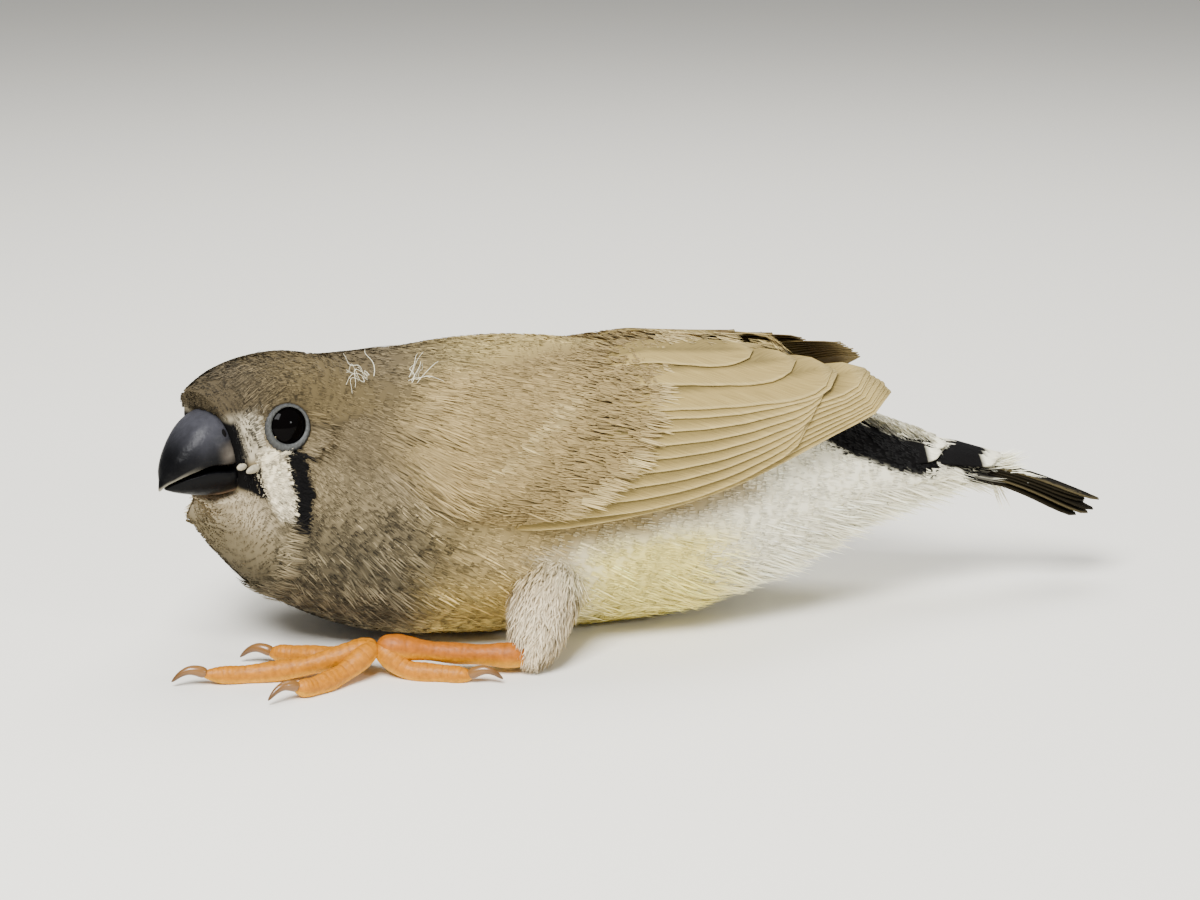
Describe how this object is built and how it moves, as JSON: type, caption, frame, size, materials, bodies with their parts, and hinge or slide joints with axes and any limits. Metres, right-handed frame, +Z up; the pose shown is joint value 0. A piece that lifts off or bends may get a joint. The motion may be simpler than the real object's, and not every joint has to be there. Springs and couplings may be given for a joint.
{
  "type": "zebra finch fledgling",
  "caption": "Life-size still model of a young zebra finch that crouches flat on its belly, head turned to its left, with folded wings, a short dark bill and orange feet.",
  "frame": {"origin": "on the floor, under the middle of the whole bird's outline seen from above", "axes": "+X runs along the body from head to tail, so the bird faces -X; its left side is at -Y; +Z is up"},
  "size_m": [0.0995, 0.043, 0.0296],
  "materials": {
    "plumage_grey": "soft grey-brown feathers",
    "plumage_fawn": "soft fawn and cream feathers",
    "plumage_wing": "smooth fawn flight feathers and coverts",
    "plumage_tail": "dark feathers with white bars and edges",
    "plumage_white": "short soft white feathers",
    "eye": "wet black gloss",
    "bill": "blue-black horn with a soft gloss",
    "leg": "orange scaly skin",
    "claw": "brown translucent horn"
  },
  "bodies": {
    "root": {"head": "plumage_grey", "neck": "plumage_grey", "torso": "plumage_fawn", "tail": "plumage_tail", "wing_left": "plumage_wing", "wing_right": "plumage_wing", "eye_left": "eye", "eye_right": "eye", "bill_upper": "bill", "bill_lower": "bill", "tibia_left": "plumage_white", "tarsus_left": "leg", "toe_middle_left": "leg", "claw_middle_left": "claw", "toe_outer_left": "leg", "claw_outer_left": "claw", "toe_inner_left": "leg", "claw_inner_left": "claw", "toe_hind_left": "leg", "claw_hind_left": "claw", "tibia_right": "plumage_white", "tarsus_right": "leg", "toe_middle_right": "leg", "claw_middle_right": "claw", "toe_outer_right": "leg", "claw_outer_right": "claw", "toe_inner_right": "leg", "claw_inner_right": "claw", "toe_hind_right": "leg", "claw_hind_right": "claw"}
  },
  "joints": []
}
